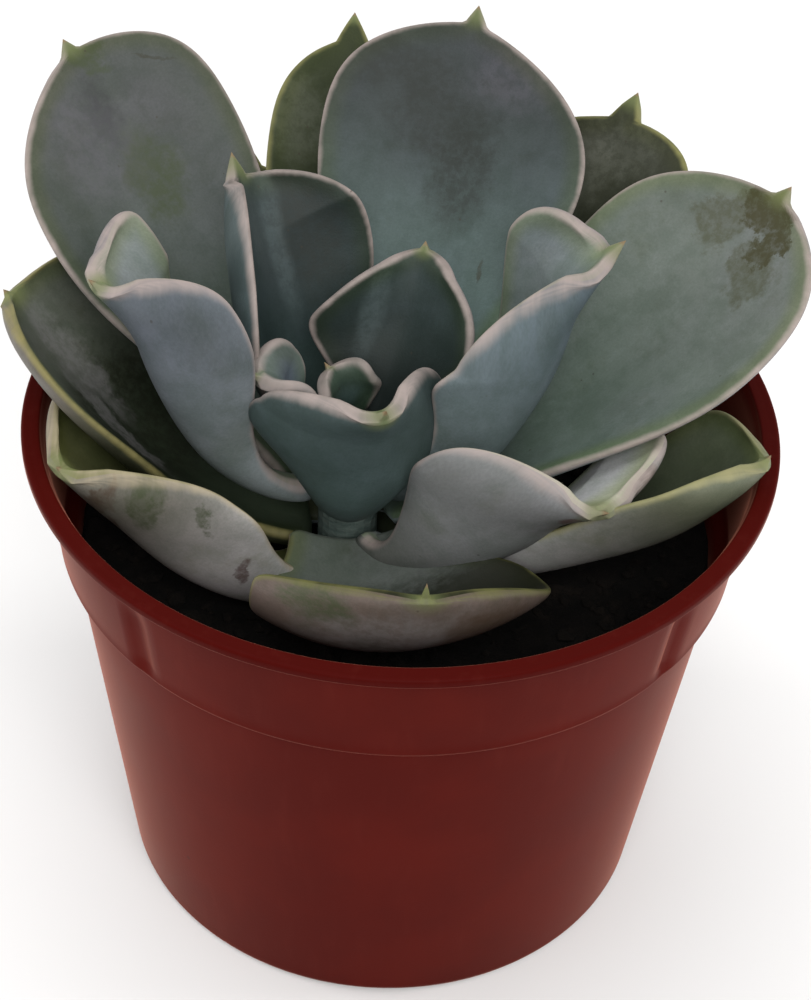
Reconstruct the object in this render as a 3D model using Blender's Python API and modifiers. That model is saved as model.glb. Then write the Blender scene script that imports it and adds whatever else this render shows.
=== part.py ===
# Potted ghost echeveria: a fleshy rosette on a short stem, growing off centre in a thin nursery pot.
# Lengths in the tables are millimetres and angles are degrees. The pot stands on z = 0, its axis is Z.
# Headings are seen from above: 0 is +X, 90 is +Y (the back), 270 is -Y (the front).
import bpy
import bmesh
import math
import numpy as np

MM = 0.001
GAP = 0.3

# Pot
POT_HEIGHT = 78.4
LIP_OUTER_R = 52.5
LIP_INNER_R = 49.9
LIP_DEPTH = 1.4
COLLAR_TOP_R = 50.3
COLLAR_BOTTOM_R = 48.2
COLLAR_DEPTH = 18.4
SHOULDER_R = 46.4
BASE_R = 39.2
WALL = 0.9
FLOOR = 1.2
FOOT_ROUND = 1.6
POT_STEPS = 64
HOLE_COUNT = 6
HOLE_R = 4.0
HOLE_RING_R = 27.0

# Compost: a little lower in the middle than at the wall
SOIL_EDGE_Z = 58.0
SOIL_CENTRE_Z = 54.8
SOIL_STEPS = 48

# Stem, under the centre of the rosette
STEM_X = -7.0
STEM_Y = -4.0
STEM_R = 4.2
STEM_BOTTOM_Z = 42.0
STEM_TOP_Z = 75.0
STEM_STEPS = 20

# Leaves
LEAF_AROUND = 16
LEAF_ALONG = 16
FOOT_RING = 0.015
MIDRIB_STEPS = 240
LEAF_START_R = 5.0
FLAT_BELOW = 7.0  # half width below which a blade loses its cup

# What a leaf has unless its own entry says otherwise.
# heading: direction in which it leaves the stem     root_z: height of its foot
# rise, tip_rise: slope of the midrib at either end   end_heading: heading at the tip, None for straight
# pull, tip_pull: how long the midrib keeps those directions
# width: across the blade laid flat    neck: width at the foot, as a share
# cup, tip_cup: slope of the blade at its margin      roll, tip_roll: turn of the blade about its midrib
# belly, shoulder, blunt: where the blade is widest, where it closes, how squarely it closes
# crest: 0.5 closes in a round end, more in a pointed one
# thick, edge: thickness on the midrib and at the margin    spike: length of the pointed end
# fold: below 1 the blade bends near the midrib
# shear: slants the end of the blade    back: share of the slant on the side that falls back
# hook: how far the pointed end is bent outwards
LEAF_DEFAULTS = {
    "heading": 0.0, "root_z": 66.0, "rise": 40.0, "tip_rise": 40.0, "end_heading": None,
    "pull": 1.0, "tip_pull": 0.8, "width": 30.0, "neck": 0.28, "cup": 40.0, "tip_cup": 25.0,
    "roll": 0.0, "tip_roll": 0.0, "belly": 0.68, "shoulder": 0.94, "blunt": 2.4,
    "thick": 4.0, "edge": 1.8, "spike": 0.6, "fold": 0.7, "shear": 0.0, "hook": 0.0,
    "crest": 0.6, "back": 1.0,
}

LEAVES = {
    # Tall leaves of the rosette
    "leaf_big_back": {
        "heading": 66, "root_z": 65, "tip": (8, 54, 112), "rise": 28, "tip_rise": 60,
        "end_heading": 80, "width": 41, "cup": 40, "tip_cup": 20, "shoulder": 0.96, "shear": 0.16,
        "crest": 0.7},
    "leaf_big_left": {
        "heading": 137, "root_z": 64, "tip": (-52, 45, 108), "rise": 22, "tip_rise": 50,
        "width": 39, "cup": 40, "tip_cup": 20, "shear": -0.3, "shoulder": 0.97},
    "leaf_big_right": {
        "heading": 7, "root_z": 64, "tip": (52, 20.5, 105.5), "rise": 12, "tip_rise": 52,
        "end_heading": 33, "width": 43, "cup": 40, "tip_cup": 20, "shoulder": 0.97,
        "tip_roll": 4},
    # Leaves behind them
    "leaf_rear_centre": {
        "heading": 96, "root_z": 60, "tip": (-10.5, 64, 104), "rise": 12, "tip_rise": 50,
        "end_heading": 88, "width": 25},
    "leaf_rear_right": {
        "heading": 47, "root_z": 61, "tip": (32, 47, 103), "rise": 12, "tip_rise": 52,
        "width": 36, "shear": -0.2, "blunt": 3},
    "leaf_rear_left": {
        "heading": 122, "root_z": 57.5, "tip": (-26, 50, 89), "rise": 0, "tip_rise": 60,
        "width": 20, "neck": 0.3, "cup": 35, "thick": 3.5},
    # Folded leaves around the heart
    "leaf_middle_left": {
        "heading": 197, "root_z": 68.5, "tip": (-42, -5, 102), "rise": 4, "tip_rise": 75,
        "pull": 1.2, "width": 31, "neck": 0.15, "cup": 50, "tip_cup": 84, "roll": 36,
        "tip_roll": 30, "hook": 5, "shear": -0.75, "back": 0.35, "crest": 0.75, "belly": 0.84,
        "shoulder": 0.97},
    "leaf_middle_back": {
        "heading": 130, "root_z": 69.5, "tip": (-26, 27, 102), "rise": 30, "tip_rise": 60,
        "width": 37, "neck": 0.4, "cup": 30, "tip_cup": 85, "roll": 18, "tip_roll": 40,
        "shear": -0.4, "hook": 5, "belly": 0.6, "end_heading": 104},
    "leaf_middle_right": {
        "heading": 345, "root_z": 69.5, "tip": (29, 9, 103), "rise": 3, "tip_rise": 75,
        "pull": 1.2, "width": 36, "neck": 0.3, "cup": 50, "tip_cup": 84, "roll": -41,
        "tip_roll": -22, "hook": 5, "shear": 0.8, "crest": 0.75},
    "leaf_middle_front": {
        "heading": 304, "root_z": 62.3, "tip": (28, -22, 81), "rise": -22, "tip_rise": 35,
        "pull": 1.1, "width": 36, "cup": 50, "tip_cup": 65, "roll": -43, "tip_roll": -32,
        "hook": 4, "shear": 0.85, "neck": 0.2, "belly": 0.8, "shoulder": 0.97, "back": 0.35},
    # Young leaves of the heart
    "leaf_heart_front": {
        "heading": 270, "root_z": 70.5, "tip": (-2, -18, 93), "rise": -20, "tip_rise": 85,
        "pull": 0.9, "tip_pull": 1.2, "width": 37, "neck": 0.32, "cup": 62, "tip_cup": 66,
        "belly": 0.6, "hook": 2},
    "leaf_heart_back": {
        "heading": 58, "root_z": 73.5, "tip": (2, 15, 97), "rise": 38, "tip_rise": 65,
        "end_heading": 80, "width": 29, "neck": 0.3, "cup": 50, "tip_cup": 60,
        "belly": 0.5, "blunt": 1.6, "shoulder": 0.96, "crest": 0.75},
    "leaf_heart_left": {
        "heading": 168, "root_z": 74, "tip": (-21, -8, 90), "rise": 10, "tip_rise": 85,
        "width": 16, "neck": 0.35, "cup": 50, "tip_cup": 70, "hook": 4},
    "leaf_heart_core": {
        "heading": 95, "root_z": 75.5, "tip": (-11, 0, 86.5), "rise": 80, "tip_rise": 80,
        "end_heading": 140, "width": 12, "neck": 0.35, "cup": 55, "tip_cup": 75, "hook": 1.5, "crest": 0.75},
    # Low old leaves
    "leaf_outer_left": {
        "heading": 184, "root_z": 60, "tip": (-56, 8, 90), "rise": 0, "tip_rise": 50,
        "width": 42, "cup": 45, "tip_cup": 40, "belly": 0.74, "shoulder": 0.98, "blunt": 3.5,
        "tip_roll": 10, "crest": 0.5, "roll": 3},
    "leaf_outer_front_left": {
        "heading": 236, "root_z": 57.5, "tip": (-45.5, -18, 80.5), "rise": -5, "tip_rise": 45,
        "end_heading": 190, "pull": 1.4, "width": 37, "cup": 50, "tip_cup": 60, "roll": 18,
        "tip_roll": 26, "shear": -0.5, "belly": 0.74, "shoulder": 0.98, "blunt": 3.5, "crest": 0.5},
    "leaf_outer_front": {
        "heading": 276, "root_z": 61.5, "tip": (4.4, -35.6, 79.4), "rise": -8, "tip_rise": 103,
        "pull": 1.55, "tip_pull": 1.35, "end_heading": 272, "width": 45, "cup": 45, "tip_cup": 30,
        "tip_roll": 8, "neck": 0.42, "spike": 0.3, "crest": 0.5, "belly": 0.7},
    "leaf_outer_right": {
        "heading": 342, "root_z": 57.5, "tip": (50, -10, 82.5), "rise": -3, "tip_rise": 60,
        "end_heading": 12, "width": 34, "cup": 50, "tip_cup": 50, "roll": -26, "tip_roll": -26,
        "belly": 0.74, "shoulder": 0.98, "blunt": 3.5, "crest": 0.5},
    # Low leaves under the tall ones
    "leaf_low_back": {
        "heading": 78, "root_z": 57, "tip": (4, 46, 80), "rise": 0, "tip_rise": 40,
        "width": 23, "cup": 35, "tip_cup": 30, "thick": 3.5},
    "leaf_low_right": {
        "heading": 28, "root_z": 57.5, "tip": (36, 25, 81), "rise": 0, "tip_rise": 45,
        "width": 24, "cup": 35, "tip_cup": 30, "thick": 3.5},
}

# Where two leaves press together, the first is hollowed to sit against the second.
PRESSED = [
    ("leaf_big_back", "leaf_big_left"),
    ("leaf_big_back", "leaf_big_right"),
    ("leaf_big_back", "leaf_middle_back"),
    ("leaf_big_left", "leaf_middle_left"),
    ("leaf_outer_left", "leaf_big_left"),
    ("leaf_rear_right", "leaf_big_right"),
    ("leaf_big_right", "leaf_middle_front"),
    ("leaf_rear_centre", "leaf_rear_right"),
    ("leaf_middle_left", "leaf_heart_front"),
    ("leaf_middle_front", "leaf_heart_front"),
    ("leaf_middle_back", "leaf_heart_left"),
    ("leaf_heart_back", "leaf_heart_front"),
    ("leaf_heart_back", "leaf_heart_core"),
    ("leaf_outer_front", "leaf_middle_front"),
    ("leaf_outer_right", "leaf_middle_front"),
    ("leaf_outer_front_left", "leaf_outer_front"),
    ("leaf_outer_right", "leaf_outer_front"),
    ("leaf_low_right", "leaf_outer_right"),
    ("leaf_low_back", "leaf_rear_left"),
    ("leaf_low_back", "leaf_rear_centre"),
    ("leaf_rear_left", "leaf_rear_centre"),
    ("leaf_low_back", "leaf_low_right"),
    ("leaf_outer_front_left", "leaf_outer_left"),
    ("leaf_big_right", "leaf_middle_right"),
    ("leaf_big_right", "leaf_outer_front"),
    ("leaf_heart_front", "leaf_middle_right"),
]


def clear_scene():
    for obj in list(bpy.data.objects):
        bpy.data.objects.remove(obj, do_unlink=True)


def make_collection(name):
    collection = bpy.data.collections.new(name)
    bpy.context.scene.collection.children.link(collection)
    return collection


def principled(name, colour, roughness):
    material = bpy.data.materials.new(name)
    material.use_nodes = True
    shader = material.node_tree.nodes["Principled BSDF"]
    shader.inputs["Base Color"].default_value = (colour[0], colour[1], colour[2], 1.0)
    shader.inputs["Roughness"].default_value = roughness
    return material


def leaf_material(name):
    if "outer" in name or "low" in name:
        return principled(name, (0.20, 0.21, 0.18), 0.65)
    if "rear" in name:
        return principled(name, (0.15, 0.20, 0.16), 0.65)
    return principled(name, (0.24, 0.31, 0.30), 0.65)


def pot_material(name):
    return principled(name, (0.28, 0.06, 0.04), 0.4)


def soil_material(name):
    return principled(name, (0.03, 0.025, 0.02), 0.95)


def stem_material(name):
    return principled(name, (0.22, 0.19, 0.12), 0.8)


def mesh_object(name, bm, collection, material):
    if bm.calc_volume(signed=True) < 0.0:
        bmesh.ops.reverse_faces(bm, faces=bm.faces)
    mesh = bpy.data.meshes.new(name)
    bm.to_mesh(mesh)
    bm.free()
    for polygon in mesh.polygons:
        polygon.use_smooth = True
    obj = bpy.data.objects.new(name, mesh)
    collection.objects.link(obj)
    if material:
        obj.data.materials.append(material)
    return obj


def hide_cutter(obj):
    obj.hide_render = True
    obj.display_type = 'WIRE'


def cut(obj, cutter):
    modifier = obj.modifiers.new("cut_" + cutter.name, 'BOOLEAN')
    modifier.operation = 'DIFFERENCE'
    modifier.solver = 'EXACT'
    modifier.object = cutter


def turned(name, profile, steps, collection, material):
    # The profile runs from the axis up the inside, over the top and down the outside to the axis.
    mesh = bpy.data.meshes.new(name)
    vertices = [(r * MM, 0.0, z * MM) for r, z in profile]
    edges = [(i, i + 1) for i in range(len(profile) - 1)]
    mesh.from_pydata(vertices, edges, [])
    obj = bpy.data.objects.new(name, mesh)
    collection.objects.link(obj)
    screw = obj.modifiers.new("turn", 'SCREW')
    screw.angle = 2.0 * math.pi
    screw.steps = steps
    screw.render_steps = steps
    screw.use_merge_vertices = True
    screw.merge_threshold = 0.00001
    screw.use_normal_calculate = True
    screw.use_smooth_shade = True
    if material:
        obj.data.materials.append(material)
    return obj


def pot_outside():
    collar_z = POT_HEIGHT - COLLAR_DEPTH
    return [
        (LIP_INNER_R + 0.3, POT_HEIGHT),
        (LIP_OUTER_R - 0.4, POT_HEIGHT),
        (LIP_OUTER_R, POT_HEIGHT - 0.4),
        (LIP_OUTER_R, POT_HEIGHT - LIP_DEPTH + 0.2),
        (LIP_OUTER_R - 0.3, POT_HEIGHT - LIP_DEPTH),
        (COLLAR_TOP_R, POT_HEIGHT - LIP_DEPTH),
        (COLLAR_BOTTOM_R, collar_z + 1.0),
        (COLLAR_BOTTOM_R - 0.3, collar_z + 0.2),
        (SHOULDER_R, collar_z - 0.6),
        (BASE_R + 0.2, FOOT_ROUND),
        (BASE_R - 0.3, 0.5),
        (BASE_R - 1.2, 0.0),
        (0.0, 0.0),
    ]


def pot_inside():
    collar_z = POT_HEIGHT - COLLAR_DEPTH
    return [
        (0.0, FLOOR),
        (BASE_R - 2.0, FLOOR),
        (BASE_R - WALL, FLOOR + 1.2),
        (SHOULDER_R - WALL, collar_z - 0.8),
        (COLLAR_BOTTOM_R - WALL, collar_z + 0.6),
        (COLLAR_TOP_R - WALL, POT_HEIGHT - LIP_DEPTH),
        (LIP_INNER_R, POT_HEIGHT - 0.3),
    ]


def make_pot(parts, cutters):
    pot = turned("pot", pot_inside() + pot_outside(), POT_STEPS, parts, pot_material("pot"))
    for i in range(HOLE_COUNT):
        angle = 2.0 * math.pi * (i + 0.5) / HOLE_COUNT
        bm = bmesh.new()
        bmesh.ops.create_cone(bm, cap_ends=True, segments=16, radius1=HOLE_R * MM,
                              radius2=HOLE_R * MM, depth=6.0 * MM)
        x = HOLE_RING_R * MM * math.cos(angle)
        y = HOLE_RING_R * MM * math.sin(angle)
        bmesh.ops.translate(bm, vec=(x, y, 0.0), verts=bm.verts)
        drill = mesh_object("drain_drill_%d" % i, bm, cutters, None)
        hide_cutter(drill)
        cut(pot, drill)
    return pot


def soil_profile():
    collar_z = POT_HEIGHT - COLLAR_DEPTH
    taper = (SHOULDER_R - BASE_R) / (collar_z - 0.8 - FLOOR - 1.2)
    edge_r = BASE_R - WALL + taper * (SOIL_EDGE_Z - FLOOR - 1.2) - GAP
    return [
        (0.0, SOIL_CENTRE_Z),
        (12.0, SOIL_CENTRE_Z),
        (24.0, SOIL_CENTRE_Z + 0.5),
        (36.0, SOIL_CENTRE_Z + 1.5),
        (edge_r - 3.0, SOIL_EDGE_Z - 0.4),
        (edge_r - 0.6, SOIL_EDGE_Z),
        (edge_r, SOIL_EDGE_Z - 0.6),
        (BASE_R - WALL - GAP, FLOOR + 1.6),
        (BASE_R - 2.4, FLOOR + GAP),
        (0.0, FLOOR + GAP),
    ]


def make_soil(parts, cutters):
    soil = turned("soil", soil_profile(), SOIL_STEPS, parts, soil_material("soil"))
    top = SOIL_EDGE_Z + 4.0
    bottom = STEM_BOTTOM_Z - GAP
    bm = bmesh.new()
    radius = (STEM_R + 1.0 + GAP) * MM
    bmesh.ops.create_cone(bm, cap_ends=True, segments=STEM_STEPS, radius1=radius,
                          radius2=radius, depth=(top - bottom) * MM)
    centre = (STEM_X * MM, STEM_Y * MM, (top + bottom) / 2.0 * MM)
    bmesh.ops.translate(bm, vec=centre, verts=bm.verts)
    drill = mesh_object("stem_hole_drill", bm, cutters, None)
    hide_cutter(drill)
    cut(soil, drill)
    return soil


def make_stem(parts):
    profile = [
        (0.0, STEM_TOP_Z),
        (STEM_R * 0.5, STEM_TOP_Z - 0.4),
        (STEM_R * 0.85, STEM_TOP_Z - 1.6),
        (STEM_R, STEM_TOP_Z - 3.5),
        (STEM_R, SOIL_CENTRE_Z + 1.5),
        (STEM_R + 1.0, SOIL_CENTRE_Z - 3.0),
        (STEM_R + 0.8, STEM_BOTTOM_Z + 2.0),
        (STEM_R - 0.6, STEM_BOTTOM_Z),
        (0.0, STEM_BOTTOM_Z),
    ]
    stem = turned("stem", profile, STEM_STEPS, parts, stem_material("stem"))
    stem.location = (STEM_X * MM, STEM_Y * MM, 0.0)
    return stem


def ease(x):
    x = np.clip(x, 0.0, 1.0)
    return x * x * (3.0 - 2.0 * x)


def aim(heading, rise):
    flat = math.cos(math.radians(rise))
    return np.array([flat * math.cos(heading), flat * math.sin(heading), math.sin(math.radians(rise))])


def evenly(points, length_at, count):
    wanted = np.linspace(0.0, length_at[-1], count)
    return np.stack([np.interp(wanted, length_at, points[:, k]) for k in range(3)], -1)


def midrib(leaf):
    # The midrib leaves the stem one way, reaches its tip another way, and is spaced evenly.
    start_heading = math.radians(leaf["heading"])
    start = np.array([
        STEM_X + LEAF_START_R * math.cos(start_heading),
        STEM_Y + LEAF_START_R * math.sin(start_heading),
        leaf["root_z"]])
    end = np.array(leaf["tip"], float)
    if leaf["end_heading"] is None:
        end_heading = math.atan2(end[1] - start[1], end[0] - start[0])
    else:
        end_heading = math.radians(leaf["end_heading"])
    outward = np.array([math.cos(end_heading), math.sin(end_heading), 0.0]) * leaf["hook"]
    end = end - outward
    span = np.linalg.norm(end - start)
    leave = aim(start_heading, leaf["rise"]) * span * leaf["pull"]
    arrive = aim(end_heading, leaf["tip_rise"]) * span * leaf["tip_pull"]
    u = np.linspace(0.0, 1.0, MIDRIB_STEPS + 1)[:, None]
    line = (2 * u**3 - 3 * u**2 + 1) * start + (u**3 - 2 * u**2 + u) * leave
    line = line + (3 * u**2 - 2 * u**3) * end + (u**3 - u**2) * arrive
    steps = np.linalg.norm(np.diff(line, axis=0), axis=1)
    line = evenly(line, np.concatenate([[0.0], np.cumsum(steps)]), MIDRIB_STEPS + 1)
    line = line + outward * np.clip((u - 0.75) / 0.25, 0.0, 1.0) ** 1.8
    along = np.gradient(line, axis=0)
    along = along / np.linalg.norm(along, axis=1)[:, None]
    turn = (end_heading - start_heading + math.pi) % (2.0 * math.pi) - math.pi
    heading = start_heading + turn * u[:, 0]
    return line, along, heading, steps.sum()


def leaf_frame(leaf, u):
    # Centre of the blade at share u of its length, with unit vectors along, across and inwards.
    line, along, heading, length = midrib(leaf)
    at = u * MIDRIB_STEPS
    index = np.arange(MIDRIB_STEPS + 1)
    centre = np.stack([np.interp(at, index, line[:, k]) for k in range(3)], -1)
    ahead = np.stack([np.interp(at, index, along[:, k]) for k in range(3)], -1)
    ahead = ahead / np.linalg.norm(ahead, axis=1)[:, None]
    way = np.interp(at, index, heading)
    across = np.stack([-np.sin(way), np.cos(way), 0.0 * way], -1)
    inward = np.cross(ahead, across)
    inward = inward / np.linalg.norm(inward, axis=1)[:, None]
    across = np.cross(inward, ahead)
    roll = np.radians(leaf["roll"] + (leaf["tip_roll"] - leaf["roll"]) * u)[:, None]
    rolled = np.cos(roll) * across + np.sin(roll) * inward
    inward = np.cos(roll) * inward - np.sin(roll) * across
    return centre, ahead, rolled, inward, length


def half_width(leaf, u, length):
    belly = leaf["belly"]
    swell = leaf["neck"] + (1.0 - leaf["neck"]) * ease(u / belly)
    near_end = np.clip((u - belly) / (leaf["shoulder"] - belly), 0.0, 1.0)
    close = (1.0 - near_end ** leaf["blunt"]) ** leaf["crest"]
    blade = np.where(u < belly, swell, close) * leaf["width"] / 2.0
    point = leaf["spike"] * (1.0 - u) * length * ease((u - belly) / (1.0 - belly))
    joined = np.sqrt(blade ** 2 + point ** 2)
    return np.where(u < belly, blade, joined) * foot_round(u)


def foot_round(u):
    return np.sqrt(np.clip(u / 0.02, 0.0, 1.0))


def bent_across(cup, fold, width, side):
    # Position across and inwards of a point at share side (-1 to 1) of a blade bent up by cup.
    steps = np.linspace(0.0, 1.0, 41)
    slope = cup * steps ** fold
    middle = (slope[1:] + slope[:-1]) / 2.0
    x = np.concatenate([[0.0], np.cumsum(np.cos(middle) * np.diff(steps))]) * width
    y = np.concatenate([[0.0], np.cumsum(np.sin(middle) * np.diff(steps))]) * width
    reach = abs(side)
    sign = 1.0 if side >= 0.0 else -1.0
    return sign * np.interp(reach, steps, x), np.interp(reach, steps, y), sign * cup * reach ** fold


def half_thickness(leaf, u, width, side):
    middle = leaf["thick"] / 2.0 * (1.0 - 0.55 * u * u) * foot_round(u)
    margin = leaf["edge"] / 2.0 * foot_round(u)
    middle = min(middle, width * 0.8)
    margin = min(margin, width * 0.7)
    body = (middle ** 2 - margin ** 2) * (1.0 - side ** 2) ** 2
    return math.sqrt(max(body + margin ** 2 * (1.0 - side ** 16), 0.0))


def ring_share(height):
    # Rings of the ball lie close together at the tip and wide apart at the foot.
    step = math.acos(max(-1.0, min(1.0, height))) / math.pi * LEAF_ALONG
    if step < 0.5:
        return 0.0
    past_foot = min((step - 1.0) / (LEAF_ALONG - 1.0), 1.0)
    return FOOT_RING + (1.0 - FOOT_RING) * (1.0 - (1.0 - past_foot) ** 1.6)


def leaf_bmesh(leaf, grow):
    # A ball whose poles become the foot and the tip; grow thickens it all over.
    bm = bmesh.new()
    bmesh.ops.create_uvsphere(bm, u_segments=LEAF_AROUND, v_segments=LEAF_ALONG, radius=1.0)
    vertices = list(bm.verts)
    share = np.array([ring_share(vertex.co.z) for vertex in vertices])
    centre, ahead, across, inward, length = leaf_frame(leaf, share)
    widths = half_width(leaf, share, length)
    for i, vertex in enumerate(vertices):
        u = share[i]
        round_angle = math.atan2(vertex.co.y, vertex.co.x)
        pole = math.hypot(vertex.co.x, vertex.co.y) < 0.001
        side = 0.0 if pole else math.cos(round_angle)
        upper = 1.0 if math.sin(round_angle) >= 0.0 else -1.0
        cup = math.radians(leaf["cup"] + (leaf["tip_cup"] - leaf["cup"]) * u)
        cup = cup * float(ease(widths[i] / FLAT_BELOW))
        x, y, slope = bent_across(cup, leaf["fold"], widths[i], side)
        if pole:
            vertex.co = (centre[i] + ahead[i] * grow * (1.0 if u > 0.5 else -1.0)) * MM
            continue
        rim = abs(side) > 0.999
        depth = 0.0 if rim else upper * (half_thickness(leaf, u, widths[i], side) + grow)
        out = grow * (1.0 if side > 0.0 else -1.0) if rim else 0.0
        x = x + out * math.cos(slope) - depth * math.sin(slope)
        y = y + out * math.sin(slope) + depth * math.cos(slope)
        slip = leaf["shear"] * x * float(ease((u - 0.15) / 0.75))
        slip = slip if slip > 0.0 else slip * leaf["back"]
        vertex.co = (centre[i] + across[i] * x + inward[i] * y + ahead[i] * slip) * MM
    return bm


def full_entry(name):
    leaf = dict(LEAF_DEFAULTS)
    leaf.update(LEAVES[name])
    return leaf


def loose_bodies(bm):
    bodies = []
    seen = set()
    for start in bm.verts:
        if start in seen:
            continue
        seen.add(start)
        body = [start]
        for vertex in body:
            for edge in vertex.link_edges:
                other = edge.other_vert(vertex)
                if other not in seen:
                    seen.add(other)
                    body.append(other)
        bodies.append(body)
    return bodies


def keep_main_body(obj):
    # Makes the cut shape the leaf's own mesh, without the slivers that a cut can leave loose.
    graph = bpy.context.evaluated_depsgraph_get()
    mesh = bpy.data.meshes.new_from_object(obj.evaluated_get(graph))
    bm = bmesh.new()
    bm.from_mesh(mesh)
    bodies = sorted(loose_bodies(bm), key=len)
    for body in bodies[:-1]:
        bmesh.ops.delete(bm, geom=body, context='VERTS')
    bm.to_mesh(mesh)
    bm.free()
    obj.modifiers.clear()
    obj.data = mesh


def make_leaves(parts, cutters):
    leaves = {}
    for name in LEAVES:
        bm = leaf_bmesh(full_entry(name), 0.0)
        leaves[name] = mesh_object(name, bm, parts, leaf_material(name))
    for outer, inner in PRESSED:
        name = "room_for_" + inner
        room = cutters.objects.get(name)
        if room is None:
            room = mesh_object(name, leaf_bmesh(full_entry(inner), GAP), cutters, None)
            hide_cutter(room)
        cut(leaves[outer], room)
    for name in LEAVES:
        keep_main_body(leaves[name])
    return leaves


def main():
    clear_scene()
    parts = make_collection("potted_ghost_echeveria")
    cutters = make_collection("cutters")
    make_pot(parts, cutters)
    make_soil(parts, cutters)
    make_stem(parts)
    make_leaves(parts, cutters)


main()
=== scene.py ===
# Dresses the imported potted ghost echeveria: smooth leaves with their bloom, margins and scars, a thin
# red nursery pot and loose compost. Lengths are millimetres and angles are degrees, unless a comment
# says otherwise.
import math
import bpy
import bmesh
import numpy as np
from mathutils import Matrix, Vector

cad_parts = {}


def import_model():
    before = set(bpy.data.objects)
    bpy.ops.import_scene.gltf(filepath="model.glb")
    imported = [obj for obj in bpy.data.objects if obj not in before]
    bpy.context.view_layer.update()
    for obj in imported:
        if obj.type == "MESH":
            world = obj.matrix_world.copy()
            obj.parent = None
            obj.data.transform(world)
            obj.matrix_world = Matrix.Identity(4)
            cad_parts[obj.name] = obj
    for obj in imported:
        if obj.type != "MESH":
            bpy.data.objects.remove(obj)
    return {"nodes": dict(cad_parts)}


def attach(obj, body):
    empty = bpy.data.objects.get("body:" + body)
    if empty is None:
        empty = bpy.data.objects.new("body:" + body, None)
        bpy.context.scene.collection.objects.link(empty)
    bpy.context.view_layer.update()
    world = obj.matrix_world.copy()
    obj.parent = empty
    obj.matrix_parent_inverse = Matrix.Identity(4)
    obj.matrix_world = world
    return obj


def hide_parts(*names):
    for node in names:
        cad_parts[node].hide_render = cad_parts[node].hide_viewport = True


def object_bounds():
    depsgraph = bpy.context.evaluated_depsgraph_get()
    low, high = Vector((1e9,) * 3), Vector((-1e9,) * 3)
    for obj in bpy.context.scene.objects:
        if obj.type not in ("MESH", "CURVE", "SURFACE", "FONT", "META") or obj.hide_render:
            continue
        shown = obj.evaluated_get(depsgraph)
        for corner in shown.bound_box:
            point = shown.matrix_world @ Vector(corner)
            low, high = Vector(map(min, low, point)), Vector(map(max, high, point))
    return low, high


MM = 0.001

# Leaves
STEM_X = -7.0
STEM_Y = -4.0
LEAF_START_R = 5.0
FLAT_BELOW = 7.0
AROUND = 80
ALONG = 92
FIRST_RING = 0.001
MIDRIB_STEPS = 240
FOLD_STEPS = 60
OUTLINE_STEPS = 240
WAVE_SEED = 40
BROAD_WAVE = 0.22
CLOSE_WAVE = 0.12
MARGIN_RIPPLE = 0.30
# How far the leaves stay inside the box of the CAD, in metres
INSIDE_BOX = 0.00002

# What a leaf has unless its own entry says otherwise.
# heading: direction in which it leaves the stem     root_z: height of its foot
# rise, tip_rise: slope of the midrib at either end   end_heading: heading at the tip, None for straight
# pull, tip_pull: how long the midrib keeps those directions
# width: across the blade laid flat    neck: width at the foot, as a share
# cup, tip_cup: slope of the blade at its margin      roll, tip_roll: turn of the blade about its midrib
# belly, shoulder, blunt: where the blade is widest, where it closes, how squarely it closes
# crest: 0.5 closes in a round end, more in a pointed one
# thick, edge: thickness on the midrib and at the margin    spike: length of the pointed end
# fold: below 1 the blade bends near the midrib
# shear: slants the end of the blade    back: share of the slant on the side that falls back
# hook: how far the pointed end is bent outwards
LEAF_DEFAULTS = {
    "heading": 0.0, "root_z": 66.0, "rise": 40.0, "tip_rise": 40.0, "end_heading": None,
    "pull": 1.0, "tip_pull": 0.8, "width": 30.0, "neck": 0.28, "cup": 40.0, "tip_cup": 25.0,
    "roll": 0.0, "tip_roll": 0.0, "belly": 0.68, "shoulder": 0.94, "blunt": 2.4,
    "thick": 4.0, "edge": 1.8, "spike": 0.6, "fold": 0.7, "shear": 0.0, "hook": 0.0,
    "crest": 0.6, "back": 1.0,
}

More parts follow.
